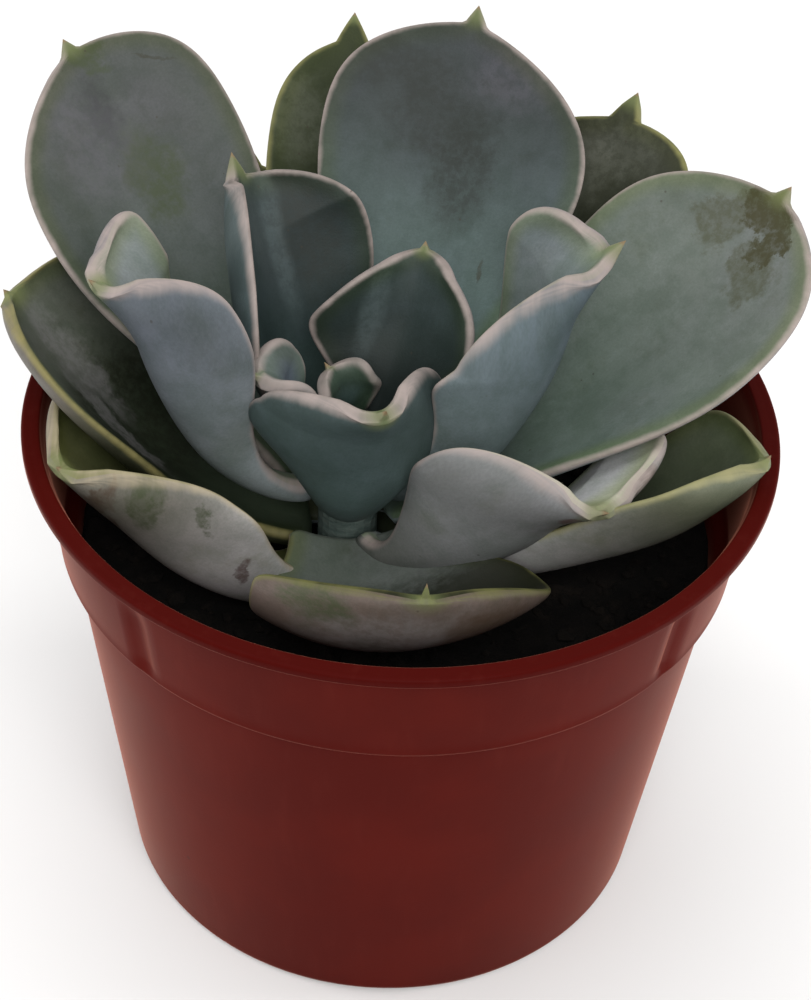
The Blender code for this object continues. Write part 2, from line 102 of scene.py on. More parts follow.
LEAVES = {
    # Tall leaves of the rosette
    "leaf_big_back": {
        "heading": 66, "root_z": 65, "tip": (8, 54, 112), "rise": 28, "tip_rise": 60,
        "end_heading": 80, "width": 41, "cup": 40, "tip_cup": 20, "shoulder": 0.96, "shear": 0.16,
        "crest": 0.7},
    "leaf_big_left": {
        "heading": 137, "root_z": 64, "tip": (-52, 45, 108), "rise": 22, "tip_rise": 50,
        "width": 39, "cup": 40, "tip_cup": 20, "shear": -0.3, "shoulder": 0.97},
    "leaf_big_right": {
        "heading": 7, "root_z": 64, "tip": (52, 20.5, 105.5), "rise": 12, "tip_rise": 52,
        "end_heading": 33, "width": 43, "cup": 40, "tip_cup": 20, "shoulder": 0.97,
        "tip_roll": 4},
    # Leaves behind them
    "leaf_rear_centre": {
        "heading": 96, "root_z": 60, "tip": (-10.5, 64, 104), "rise": 12, "tip_rise": 50,
        "end_heading": 88, "width": 25},
    "leaf_rear_right": {
        "heading": 47, "root_z": 61, "tip": (32, 47, 103), "rise": 12, "tip_rise": 52,
        "width": 36, "shear": -0.2, "blunt": 3},
    "leaf_rear_left": {
        "heading": 122, "root_z": 57.5, "tip": (-26, 50, 89), "rise": 0, "tip_rise": 60,
        "width": 20, "neck": 0.3, "cup": 35, "thick": 3.5},
    # Folded leaves around the heart
    "leaf_middle_left": {
        "heading": 197, "root_z": 68.5, "tip": (-42, -5, 102), "rise": 4, "tip_rise": 75,
        "pull": 1.2, "width": 31, "neck": 0.15, "cup": 50, "tip_cup": 84, "roll": 36,
        "tip_roll": 30, "hook": 5, "shear": -0.75, "back": 0.35, "crest": 0.75, "belly": 0.84,
        "shoulder": 0.97},
    "leaf_middle_back": {
        "heading": 130, "root_z": 69.5, "tip": (-26, 27, 102), "rise": 30, "tip_rise": 60,
        "width": 37, "neck": 0.4, "cup": 30, "tip_cup": 85, "roll": 18, "tip_roll": 40,
        "shear": -0.4, "hook": 5, "belly": 0.6, "end_heading": 104},
    "leaf_middle_right": {
        "heading": 345, "root_z": 69.5, "tip": (29, 9, 103), "rise": 3, "tip_rise": 75,
        "pull": 1.2, "width": 36, "neck": 0.3, "cup": 50, "tip_cup": 84, "roll": -41,
        "tip_roll": -22, "hook": 5, "shear": 0.8, "crest": 0.75},
    "leaf_middle_front": {
        "heading": 304, "root_z": 62.3, "tip": (28, -22, 81), "rise": -22, "tip_rise": 35,
        "pull": 1.1, "width": 36, "cup": 50, "tip_cup": 65, "roll": -43, "tip_roll": -32,
        "hook": 4, "shear": 0.85, "neck": 0.2, "belly": 0.8, "shoulder": 0.97, "back": 0.35},
    # Young leaves of the heart
    "leaf_heart_front": {
        "heading": 270, "root_z": 70.5, "tip": (-2, -18, 93), "rise": -20, "tip_rise": 85,
        "pull": 0.9, "tip_pull": 1.2, "width": 37, "neck": 0.32, "cup": 62, "tip_cup": 66,
        "belly": 0.6, "hook": 2},
    "leaf_heart_back": {
        "heading": 58, "root_z": 73.5, "tip": (2, 15, 97), "rise": 38, "tip_rise": 65,
        "end_heading": 80, "width": 29, "neck": 0.3, "cup": 50, "tip_cup": 60,
        "belly": 0.5, "blunt": 1.6, "shoulder": 0.96, "crest": 0.75},
    "leaf_heart_left": {
        "heading": 168, "root_z": 74, "tip": (-21, -8, 90), "rise": 10, "tip_rise": 85,
        "width": 16, "neck": 0.35, "cup": 50, "tip_cup": 70, "hook": 4},
    "leaf_heart_core": {
        "heading": 95, "root_z": 75.5, "tip": (-11, 0, 86.5), "rise": 80, "tip_rise": 80,
        "end_heading": 140, "width": 12, "neck": 0.35, "cup": 55, "tip_cup": 75, "hook": 1.5,
        "crest": 0.75},
    # Low old leaves
    "leaf_outer_left": {
        "heading": 184, "root_z": 60, "tip": (-56, 8, 90), "rise": 0, "tip_rise": 50,
        "width": 42, "cup": 45, "tip_cup": 40, "belly": 0.74, "shoulder": 0.98, "blunt": 3.5,
        "tip_roll": 10, "crest": 0.5, "roll": 3},
    "leaf_outer_front_left": {
        "heading": 236, "root_z": 57.5, "tip": (-45.5, -18, 80.5), "rise": -5, "tip_rise": 45,
        "end_heading": 190, "pull": 1.4, "width": 37, "cup": 50, "tip_cup": 60, "roll": 18,
        "tip_roll": 26, "shear": -0.5, "belly": 0.74, "shoulder": 0.98, "blunt": 3.5, "crest": 0.5},
    "leaf_outer_front": {
        "heading": 276, "root_z": 61.5, "tip": (4.4, -35.6, 79.4), "rise": -8, "tip_rise": 103,
        "pull": 1.55, "tip_pull": 1.35, "end_heading": 272, "width": 45, "cup": 45, "tip_cup": 30,
        "tip_roll": 8, "neck": 0.42, "spike": 0.3, "crest": 0.5, "belly": 0.7},
    "leaf_outer_right": {
        "heading": 342, "root_z": 57.5, "tip": (50, -10, 82.5), "rise": -3, "tip_rise": 60,
        "end_heading": 12, "width": 34, "cup": 50, "tip_cup": 50, "roll": -26, "tip_roll": -26,
        "belly": 0.74, "shoulder": 0.98, "blunt": 3.5, "crest": 0.5},
    # Low leaves under the tall ones
    "leaf_low_back": {
        "heading": 78, "root_z": 57, "tip": (4, 46, 80), "rise": 0, "tip_rise": 40,
        "width": 23, "cup": 35, "tip_cup": 30, "thick": 3.5},
    "leaf_low_right": {
        "heading": 28, "root_z": 57.5, "tip": (36, 25, 81), "rise": 0, "tip_rise": 45,
        "width": 24, "cup": 35, "tip_cup": 30, "thick": 3.5},
}

# Pot
POT_HEIGHT = 78.4
LIP_OUTER_R = 52.5
LIP_INNER_R = 49.9
LIP_DEPTH = 1.4
COLLAR_TOP_R = 50.3
COLLAR_BOTTOM_R = 48.2
COLLAR_DEPTH = 18.4
SHOULDER_R = 46.4
BASE_R = 39.2
WALL = 0.9
FLOOR = 1.2
BASE_RINGS = (0.0, 10.0, 20.0, 34.0)
INNER_ROUND = 1.3
LIP_ROUND = 0.35
LIP_DIP = 0.06
LIP_EDGE_ROUND = 0.5
LIP_UNDER_ROUND = 0.28
THROAT_ROUND = 0.4
COLLAR_ROUND = 0.7
SHOULDER_ROUND = 0.5
BASE_ROUND = 1.6
POT_STEPS = 288
HOLE_COUNT = 6
HOLE_R = 4.0
HOLE_RING_R = 27.0
HOLE_STEPS = 48
DRILL_DEPTH = 6.0
NOTCH_HEADINGS = (-132.0, -40.0, 50.0, 140.0)
NOTCH_BEYOND_R = 40.0
NOTCH_DEPTH = 0.9
NOTCH_HALF_WIDTH = 2.6

# Compost
SOIL_EDGE_Z = 58.0
SOIL_CENTRE_Z = 54.8
SOIL_R = 44.6
SOIL_FLAT_R = 10.0
SOIL_LIFT = 0.45
SOIL_RINGS = 70
SOIL_STEPS = 180
CRUMB_SEED = 7
CRUMB_COUNT = 900
SMALL_CRUMBS = 0.85
CRUMB_JITTER = 0.22

# Lights, floor and camera: places and sizes in metres, power in watts, lens and sensor in millimetres
WORLD_LIGHT = 0.55
# Name, place, what it is aimed at, width, height, power and colour
LIGHTS = (
    ("front", (0.12, -0.75, 0.75), (0.0, 0.0, 0.07), 0.7, 0.6, 7.0, (1.0, 0.995, 0.98)),
    ("above", (-0.15, 0.15, 1.15), (0.0, 0.0, 0.08), 0.9, 0.9, 4.5, (1.0, 1.0, 1.0)),
    ("left_strip", (-0.85, 0.10, 0.30), (0.0, 0.0, 0.05), 0.3, 0.7, 3.5, (1.0, 0.98, 0.96)),
    ("right_strip", (0.85, 0.10, 0.30), (0.0, 0.0, 0.05), 0.3, 0.7, 3.5, (1.0, 0.98, 0.96)),
)
FLOOR_HALF = 3.0
CAMERA_PLACE = (0.0011, -0.2679, 0.2952)
CAMERA_DIP = 41.0
CAMERA_ROLL = 3.06
CAMERA_LENS = 89.28
CAMERA_SENSOR = 36.0
CAMERA_NEAR = 0.01


def tone(red, green, blue):
    # A display colour of 0 to 255 as the linear colour that a shader takes.
    linear = []
    for value in (red, green, blue):
        share = value / 255.0
        linear.append(share / 12.92 if share <= 0.04045 else ((share + 0.055) / 1.055) ** 2.4)
    return tuple(linear)


# Geometry of a leaf

def ease(x):
    x = np.clip(x, 0.0, 1.0)
    return x * x * (3.0 - 2.0 * x)


def aim(heading, rise):
    flat = math.cos(math.radians(rise))
    return np.array([flat * math.cos(heading), flat * math.sin(heading), math.sin(math.radians(rise))])


def evenly(points, length_at, count):
    wanted = np.linspace(0.0, length_at[-1], count)
    return np.stack([np.interp(wanted, length_at, points[:, k]) for k in range(3)], -1)


def midrib(leaf):
    start_heading = math.radians(leaf["heading"])
    start = np.array([
        STEM_X + LEAF_START_R * math.cos(start_heading),
        STEM_Y + LEAF_START_R * math.sin(start_heading),
        leaf["root_z"]])
    end = np.array(leaf["tip"], float)
    if leaf["end_heading"] is None:
        end_heading = math.atan2(end[1] - start[1], end[0] - start[0])
    else:
        end_heading = math.radians(leaf["end_heading"])
    outward = np.array([math.cos(end_heading), math.sin(end_heading), 0.0]) * leaf["hook"]
    end = end - outward
    span = np.linalg.norm(end - start)
    leave = aim(start_heading, leaf["rise"]) * span * leaf["pull"]
    arrive = aim(end_heading, leaf["tip_rise"]) * span * leaf["tip_pull"]
    u = np.linspace(0.0, 1.0, MIDRIB_STEPS + 1)[:, None]
    line = (2 * u**3 - 3 * u**2 + 1) * start + (u**3 - 2 * u**2 + u) * leave
    line = line + (3 * u**2 - 2 * u**3) * end + (u**3 - u**2) * arrive
    steps = np.linalg.norm(np.diff(line, axis=0), axis=1)
    line = evenly(line, np.concatenate([[0.0], np.cumsum(steps)]), MIDRIB_STEPS + 1)
    line = line + outward * np.clip((u - 0.75) / 0.25, 0.0, 1.0) ** 1.8
    along = np.gradient(line, axis=0)
    along = along / np.linalg.norm(along, axis=1)[:, None]
    turn = (end_heading - start_heading + math.pi) % (2.0 * math.pi) - math.pi
    heading = start_heading + turn * u[:, 0]
    return line, along, heading, steps.sum()


def leaf_frame(leaf, u):
    line, along, heading, length = midrib(leaf)
    at = u * MIDRIB_STEPS
    index = np.arange(MIDRIB_STEPS + 1)
    centre = np.stack([np.interp(at, index, line[:, k]) for k in range(3)], -1)
    ahead = np.stack([np.interp(at, index, along[:, k]) for k in range(3)], -1)
    ahead = ahead / np.linalg.norm(ahead, axis=1)[:, None]
    way = np.interp(at, index, heading)
    across = np.stack([-np.sin(way), np.cos(way), 0.0 * way], -1)
    inward = np.cross(ahead, across)
    inward = inward / np.linalg.norm(inward, axis=1)[:, None]
    across = np.cross(inward, ahead)
    roll = np.radians(leaf["roll"] + (leaf["tip_roll"] - leaf["roll"]) * u)[:, None]
    rolled = np.cos(roll) * across + np.sin(roll) * inward
    inward = np.cos(roll) * inward - np.sin(roll) * across
    return centre, ahead, rolled, inward, length


def foot_round(u):
    return np.sqrt(np.clip(u / 0.02, 0.0, 1.0))


def half_width(leaf, u, length):
    belly = leaf["belly"]
    swell = leaf["neck"] + (1.0 - leaf["neck"]) * ease(u / belly)
    near_end = np.clip((u - belly) / (leaf["shoulder"] - belly), 0.0, 1.0)
    close = (1.0 - near_end ** leaf["blunt"]) ** leaf["crest"]
    blade = np.where(u < belly, swell, close) * leaf["width"] / 2.0
    point = leaf["spike"] * (1.0 - u) * length * ease((u - belly) / (1.0 - belly))
    joined = np.sqrt(blade ** 2 + point ** 2)
    return np.where(u < belly, blade, joined) * foot_round(u)


def half_thickness(leaf, u, width, side):
    middle = leaf["thick"] / 2.0 * (1.0 - 0.55 * u * u) * foot_round(u)
    margin = leaf["edge"] / 2.0 * foot_round(u)
    middle = np.minimum(middle, width * 0.8)
    margin = np.minimum(margin, width * 0.7)
    body = (middle ** 2 - margin ** 2) * (1.0 - side ** 2) ** 2
    return np.sqrt(np.maximum(body + margin ** 2 * (1.0 - side ** 16), 0.0))


def slant(leaf, x, u):
    slip = leaf["shear"] * x * ease((u - 0.15) / 0.75)
    return np.where(slip > 0.0, slip, slip * leaf["back"])


def ring_places():
    # Rings lie closer together towards the tip.
    share = np.linspace(0.0, 1.0, ALONG)
    share = 1.0 - (1.0 - share) ** 1.5
    return FIRST_RING + (1.0 - FIRST_RING) * share[:-1]


def folded(leaf, u, width, side):
    # Where the cupped blade lies across and above its midrib, and how far it leans there.
    steps = np.linspace(0.0, 1.0, FOLD_STEPS + 1)
    cup = leaf["cup"] + (leaf["tip_cup"] - leaf["cup"]) * u
    cup = np.radians(cup) * ease(width / FLAT_BELOW)
    slope = cup[:, None] * steps[None, :] ** leaf["fold"]
    middle = (slope[:, 1:] + slope[:, :-1]) / 2.0
    gap = np.diff(steps)[None, :]
    none = np.zeros((len(u), 1))
    run = np.concatenate([none, np.cumsum(np.cos(middle) * gap, 1)], 1)
    lift = np.concatenate([none, np.cumsum(np.sin(middle) * gap, 1)], 1)
    reach = np.abs(side)
    x = np.stack([np.interp(reach, steps, run[i]) for i in range(len(u))]) * width[:, None]
    y = np.stack([np.interp(reach, steps, lift[i]) for i in range(len(u))]) * width[:, None]
    lean = cup[:, None] * (reach ** leaf["fold"] * np.sign(side))[None, :]
    return x * np.sign(side)[None, :], y, lean


def waves(u, side, seed):
    # Long shallow waves over the blade and a ripple along its margins.
    phase = np.random.default_rng(seed).uniform(0.0, 2.0 * math.pi, 6)
    along = u[:, None]
    across = side[None, :]
    broad = np.sin(9.0 * along + phase[0]) * np.sin(2.2 * across + phase[1])
    close = np.sin(17.0 * along + phase[2]) * np.sin(4.1 * across + phase[3])
    margin = np.abs(across) ** 4 * np.sign(across + 0.2)
    ripple = np.sin(13.0 * along + phase[4]) * margin
    height = BROAD_WAVE * broad + CLOSE_WAVE * close + MARGIN_RIPPLE * ripple
    return height * (ease(u / 0.25) * ease((0.98 - u) / 0.25))[:, None]


def leaf_arrays(leaf, wave_seed):
    # Points of the blade ring by ring, with what each knows of its place on the leaf.
    u = ring_places()
    centre, ahead, across, inward, length = leaf_frame(leaf, u)
    width = half_width(leaf, u, length)
    angle = np.linspace(0.0, 2.0 * math.pi, AROUND, endpoint=False)
    side = np.cos(angle)
    upper = np.where(np.sin(angle) >= -1e-9, 1.0, -1.0)
    x, y, lean = folded(leaf, u, width, side)
    depth = upper[None, :] * half_thickness(leaf, u[:, None], width[:, None], side[None, :])
    depth = depth + waves(u, side, wave_seed)
    x = x - depth * np.sin(lean)
    y = y + depth * np.cos(lean)
    slip = slant(leaf, x, u[:, None])
    points = centre[:, None, :] + across[:, None, :] * x[:, :, None]
    points = points + inward[:, None, :] * y[:, :, None] + ahead[:, None, :] * slip[:, :, None]
    flat_x = side[None, :] * width[:, None]
    flat_y = (u * length)[:, None] + slant(leaf, flat_x, u[:, None])
    face = np.repeat(upper[None, :], len(u), 0)
    return points, flat_x, flat_y, face, length


def outline_distance(leaf, flat_x, flat_y, length):
    # How far each point is from the outline of the leaf, both laid flat.
    u = 1.0 - (1.0 - np.linspace(0.03, 1.0, OUTLINE_STEPS)) ** 1.6
    width = half_width(leaf, u, length)
    nearest = np.full(flat_x.shape, 1e9)
    for sign in (1.0, -1.0):
        edge_x = sign * width
        edge_y = u * length + slant(leaf, edge_x, u)
        for k in range(OUTLINE_STEPS):
            apart = np.hypot(flat_x - edge_x[k], flat_y - edge_y[k])
            nearest = np.minimum(nearest, apart)
    return nearest


def put_attribute(mesh, name, kind, values):
    attribute = mesh.attributes.new(name, kind, 'POINT')
    key = "vector" if kind == 'FLOAT_VECTOR' else "value"
    attribute.data.foreach_set(key, np.asarray(values, np.float32).ravel())


def blade_faces(rings):
    # The foot is point 0 and the tip is the last point.
    faces = []
    for k in range(AROUND):
        after = (k + 1) % AROUND
        faces.append((0, 1 + after, 1 + k))
        for i in range(rings - 1):
            here = 1 + i * AROUND
            faces.append((here + k, here + after, here + AROUND + after, here + AROUND + k))
        last = 1 + (rings - 1) * AROUND
        faces.append((last + k, last + after, 1 + rings * AROUND))
    return faces


def placed(mesh, smooth=True):
    # Puts a mesh into the scene, as an object of the same name.
    mesh.polygons.foreach_set("use_smooth", [smooth] * len(mesh.polygons))
    obj = bpy.data.objects.new(mesh.name, mesh)
    bpy.context.scene.collection.objects.link(obj)
    return obj


def face_out(mesh):
    bm = bmesh.new()
    bm.from_mesh(mesh)
    bmesh.ops.recalc_face_normals(bm, faces=bm.faces)
    bm.to_mesh(mesh)
    bm.free()


def describe_places(mesh, flat, face, rim, length):
    # What each point knows: its place on the flat blade, its face, and how far rim and tip are.
    flat = np.concatenate([[[0.0, 0.0, 0.0]], flat, [[0.0, length, 0.0]]])
    put_attribute(mesh, "flat", 'FLOAT_VECTOR', flat)
    put_attribute(mesh, "rim", 'FLOAT', np.concatenate([[3.0], rim.ravel(), [0.0]]))
    put_attribute(mesh, "tip", 'FLOAT', np.hypot(flat[:, 0], flat[:, 1] - length))
    put_attribute(mesh, "face", 'FLOAT', np.concatenate([[0.0], face.ravel(), [0.0]]))
    put_attribute(mesh, "along", 'FLOAT', flat[:, 1] / length)


def leaf_piece(node, number, limits):
    leaf = dict(LEAF_DEFAULTS)
    leaf.update(LEAVES[node])
    points, flat_x, flat_y, face, length = leaf_arrays(leaf, WAVE_SEED + number)
    ends = leaf_frame(leaf, np.array([0.0, 1.0]))[0]
    everything = np.concatenate([ends[:1], points.reshape(-1, 3), ends[1:]]) * MM
    low = np.array(limits[0]) + INSIDE_BOX
    high = np.array(limits[1]) - INSIDE_BOX
    everything = np.clip(everything, low, high)
    mesh = bpy.data.meshes.new(node.replace("leaf_", "blade_"))
    mesh.from_pydata([tuple(p) for p in everything], [], blade_faces(len(points)))
    flat = np.stack([flat_x, flat_y, 0.0 * flat_x], -1).reshape(-1, 3)
    describe_places(mesh, flat, face, outline_distance(leaf, flat_x, flat_y, length), length)
    blade = placed(mesh)
    face_out(mesh)
    return blade


# Materials

class Recipe:
    # Short names for the nodes of one material.
    def __init__(self, name):
        self.material = bpy.data.materials.new(name)
        self.material.use_nodes = True
        self.tree = self.material.node_tree
        self.shader = self.tree.nodes["Principled BSDF"]
        self.place = self.add("ShaderNodeTexCoord").outputs["Object"]

    def add(self, kind, **settings):
        node = self.tree.nodes.new(kind)
        for key, value in settings.items():
            setattr(node, key, value)
        return node

    def put(self, socket, value):
        if isinstance(value, bpy.types.NodeSocket):
            self.tree.links.new(value, socket)
        elif isinstance(value, tuple) and socket.type == 'RGBA':
            socket.default_value = (value[0], value[1], value[2], 1.0)
        else:
            socket.default_value = value

    def set(self, **values):
        for key, value in values.items():
            self.put(self.shader.inputs[key.replace("_", " ")], value)

    def attribute(self, name, output="Fac"):
        return self.add("ShaderNodeAttribute", attribute_name=name).outputs[output]

    def math(self, operation, a, b):
        node = self.add("ShaderNodeMath", operation=operation)
        self.put(node.inputs[0], a)
        self.put(node.inputs[1], b)
        return node.outputs[0]

    def scaled(self, value, factor, offset):
        node = self.add("ShaderNodeMath", operation='MULTIPLY_ADD')
        self.put(node.inputs[0], value)
        self.put(node.inputs[1], factor)
        self.put(node.inputs[2], offset)
        return node.outputs[0]

    def smooth(self, value, low, high):
        node = self.add("ShaderNodeMapRange", interpolation_type='SMOOTHSTEP')
        self.put(node.inputs["Value"], value)
        node.inputs["From Min"].default_value = low
        node.inputs["From Max"].default_value = high
        return node.outputs["Result"]

    def mix(self, factor, a, b, blend='MIX'):
        node = self.add("ShaderNodeMix", data_type='RGBA', blend_type=blend)
        self.put(node.inputs[0], factor)
        self.put(node.inputs[6], a)
        self.put(node.inputs[7], b)
        return node.outputs[2]

    def mapped(self, vector, scale, shift=(0.0, 0.0, 0.0)):
        node = self.add("ShaderNodeMapping")
        self.put(node.inputs["Vector"], vector)
        node.inputs["Location"].default_value = shift
        node.inputs["Scale"].default_value = scale
        return node.outputs["Vector"]

    def noise(self, vector, scale, detail=3.0, roughness=0.55, output="Fac"):
        node = self.add("ShaderNodeTexNoise")
        self.put(node.inputs["Vector"], vector)
        node.inputs["Scale"].default_value = scale
        node.inputs["Detail"].default_value = detail
        node.inputs["Roughness"].default_value = roughness
        return node.outputs[output]

    def specks(self, vector, scale, size):
        node = self.add("ShaderNodeTexVoronoi")
        self.put(node.inputs["Vector"], vector)
        node.inputs["Scale"].default_value = scale
        return self.smooth(node.outputs["Distance"], size, size * 0.55)

    def bump(self, height, distance, strength=1.0):
        node = self.add("ShaderNodeBump")
        node.inputs["Strength"].default_value = strength
        node.inputs["Distance"].default_value = distance
        self.put(node.inputs["Height"], height)
        self.put(self.shader.inputs["Normal"], node.outputs["Normal"])


# How each leaf looks.
# low, high: inner face near its foot and its end    under_low, under: outer face near both
# margin: tone of the pale margin    band: how wide that is    olive: strength of the green line inside it
# rub: how much bloom is rubbed off    span: shares of its length between which the tone changes
# A mark is (kind, face, across, along, half width, half length, turn) in millimetres on the flat blade,
# its turn in degrees, and its face 1 for the inner and -1 for the outer one.
LOOK_DEFAULTS = {
    "low": (100, 112, 110), "high": (88, 97, 96), "under_low": (112, 122, 124), "under": (96, 103, 108),
    "margin": (156, 143, 138), "band": 0.6, "olive": 0.85, "rub": 0.3, "span": (0.25, 0.85), "marks": (),
}
LOOKS = {
    "leaf_big_back": {
        "low": (88, 106, 103), "high": (54, 60, 60), "rub": 0.45,
        "marks": (("shade", 1, 10.0, 63.0, 7.0, 4.0, 10), ("shade", 1, 3.0, 55.5, 8.0, 5.5, 30),
                  ("shade", 1, -1.5, 48.0, 4.5, 8.0, 0), ("violet", 1, -8.0, 64.0, 7.0, 6.0, 0),
                  ("crack", 1, -8.0, 33.5, 0.35, 1.6, 0))},
    "leaf_big_left": {
        "low": (78, 90, 82), "high": (75, 79, 76), "rub": 0.3,
        "marks": (("olive", 1, -1.5, 73.5, 2.8, 3.0, 20), ("olive", 1, -3.5, 53.0, 4.6, 7.0, 8),
                  ("crack", 1, -11.5, 69.0, 3.0, 0.25, 25), ("shade", 1, 0.0, 64.5, 3.0, 5.0, 0),
                  ("violet", 1, 4.0, 60.0, 7.0, 9.0, 0))},
    "leaf_big_right": {
        "low": (95, 110, 101), "high": (100, 107, 101), "rub": 0.35,
        "marks": (("faint", 1, 5.0, 65.0, 3.6, 4.6, 10), ("faint", 1, -5.5, 61.5, 4.4, 4.2, 20),
                  ("patch", 1, -1.5, 69.5, 5.0, 4.2, -20), ("patch", 1, -5.0, 65.5, 2.6, 3.6, 20),
                  ("patch", 1, 0.0, 70.5, 5.0, 3.6, -30))},
    "leaf_rear_centre": {
        "low": (44, 52, 30), "high": (46, 54, 28), "under": (84, 90, 62), "margin": (118, 116, 72),
        "rub": 0.7, "marks": (("bloom", 1, 8.5, 61.0, 5.0, 6.0, 0),)},
    "leaf_rear_right": {
        "low": (50, 54, 41), "high": (46, 49, 35), "margin": (126, 124, 76), "rub": 0.6,
        "marks": (("bloom", 1, -4.0, 66.0, 6.0, 5.0, 0), ("bloom", 1, 1.0, 60.0, 5.0, 6.0, 0))},
    "leaf_rear_left": {"low": (60, 66, 50), "high": (84, 88, 60), "margin": (140, 136, 88)},
    "leaf_middle_left": {
        "low": (116, 125, 122), "high": (117, 125, 123), "under_low": (128, 136, 138),
        "under": (89, 95, 102)},
    # The dark tones of its inner face are painted shade, and so is its shade mark; its sheen mark is a
    # painted highlight along the midrib crease.
    "leaf_middle_back": {
        "low": (39, 54, 51), "high": (41, 51, 51), "under_low": (66, 79, 82), "under": (80, 92, 93),
        "marks": (("shade", 1, -9.0, 34.0, 5.0, 10.0, 0), ("sheen", 1, -4.0, 33.0, 1.7, 11.0, 0))},
    "leaf_middle_right": {
        "low": (118, 128, 127), "high": (106, 116, 115), "under_low": (104, 116, 118),
        "under": (89, 101, 108)},
    "leaf_middle_front": {
        "low": (122, 130, 130), "high": (166, 170, 166), "under_low": (100, 102, 98),
        "under": (122, 124, 124), "span": (0.15, 0.60),
        "marks": (("scar", -1, 0.5, 35.0, 3.0, 1.1, 0), ("brown", -1, 8.5, 43.5, 1.0, 4.0, -40))},
    "leaf_heart_front": {
        "low": (68, 84, 82), "high": (66, 79, 78), "under_low": (72, 87, 86), "under": (62, 75, 75)},
    # The dark foot of its inner face is painted shade; its sheen mark is a painted highlight along the
    # midrib crease.
    "leaf_heart_back": {
        "low": (27, 36, 34), "high": (50, 62, 60), "marks": (("sheen", 1, 6.0, 19.0, 1.6, 8.0, 0),)},
    "leaf_heart_left": {
        "low": (100, 115, 120), "high": (92, 102, 112), "under_low": (74, 90, 92), "under": (80, 95, 98)},
    "leaf_heart_core": {
        "low": (72, 92, 86), "high": (62, 76, 76), "under_low": (72, 86, 80), "under": (76, 90, 84)},
    # Its dark mark is painted shade, for the middle of the inner face in shadow.
    "leaf_outer_left": {
        "low": (46, 56, 41), "high": (86, 91, 80), "under_low": (70, 72, 56), "span": (0.50, 0.85),
        "under": (104, 98, 90), "margin": (128, 120, 76), "rub": 0.6,
        "marks": (("dark", 1, 2.0, 30.0, 18.0, 12.0, 0), ("frost", 1, 0.0, 43.0, 3.0, 10.0, 0),
                  ("frost", 1, 6.0, 33.0, 2.0, 10.0, 10))},
    # The very pale foot of its outer face is heavy bloom, lightened further as painted light where other
    # leaves shade it.
    "leaf_outer_front_left": {
        "low": (84, 88, 58), "high": (94, 98, 62), "under_low": (192, 189, 189),
        "under": (106, 103, 94), "margin": (160, 148, 124), "band": 0.5, "rub": 0.4,
        "marks": (("rust", -1, -5.5, 45.5, 0.9, 1.2, 0), ("brown", -1, 3.0, 40.5, 5.0, 1.6, 20),
                  ("brown", -1, 0.0, 36.0, 3.0, 0.8, 35),
                  ("olive", -1, 9.5, 37.0, 5.0, 2.2, 30), ("olive", -1, 14.5, 30.0, 2.0, 1.2, 20),
                  ("scar", -1, 8.5, 19.5, 2.6, 0.8, 20))},
    # The near-black inner face beyond its middle and its dark mark are painted shade, where the cupped
    # leaf lies in deep shadow.
    "leaf_outer_front": {
        "low": (92, 99, 92), "high": (30, 31, 21), "under_low": (166, 148, 138), "span": (0.30, 0.55),
        "under": (96, 84, 77), "margin": (100, 100, 58), "band": 0.5, "rub": 0.8,
        "marks": (("dark", 1, 0.0, 25.0, 22.0, 12.0, 0), ("scar", 1, -2.0, 12.0, 0.7, 0.7, 0),
                  ("frost", -1, -4.0, 30.0, 10.0, 6.0, 20), ("olive", -1, -14.0, 34.0, 5.0, 4.0, 0),
                  ("brown", -1, 9.0, 33.0, 6.0, 3.0, 0), ("frost", -1, 9.0, 25.0, 8.0, 4.0, 0),
                  ("brown", -1, -2.0, 24.0, 4.0, 2.0, 0))},
    "leaf_outer_right": {
        "low": (64, 72, 58), "high": (96, 104, 82), "under_low": (194, 192, 192),
        "under": (98, 102, 84), "margin": (140, 136, 98), "rub": 0.5},
    "leaf_low_back": {"low": (50, 56, 42), "high": (60, 66, 50), "margin": (120, 116, 80)},
    "leaf_low_right": {"low": (50, 56, 42), "high": (60, 66, 50), "margin": (120, 116, 80)},
}
# How far the green of the point reaches, as a share of the leaf's width
TIP_REACH = 0.11
POINT_TONE = (104, 112, 70)
THORN_TONE = (122, 104, 78)
SPECK_TONE = (56, 50, 40)
# These multiply the colour of a leaf, each in its own places.
VIOLET_CLOUDS = (1.05, 1.00, 1.08)
DARK_CLOUDS = (0.86, 0.86, 0.86)
RUBBED = (0.66, 0.70, 0.52)
STREAKED = (0.80, 0.82, 0.80)
MOTTLED = (0.80, 0.84, 0.80)
DUSTY = (1.18, 1.16, 1.20)
GRAINY = (0.70, 0.70, 0.70)
OLIVE_LINE = (0.94, 0.97, 0.64)
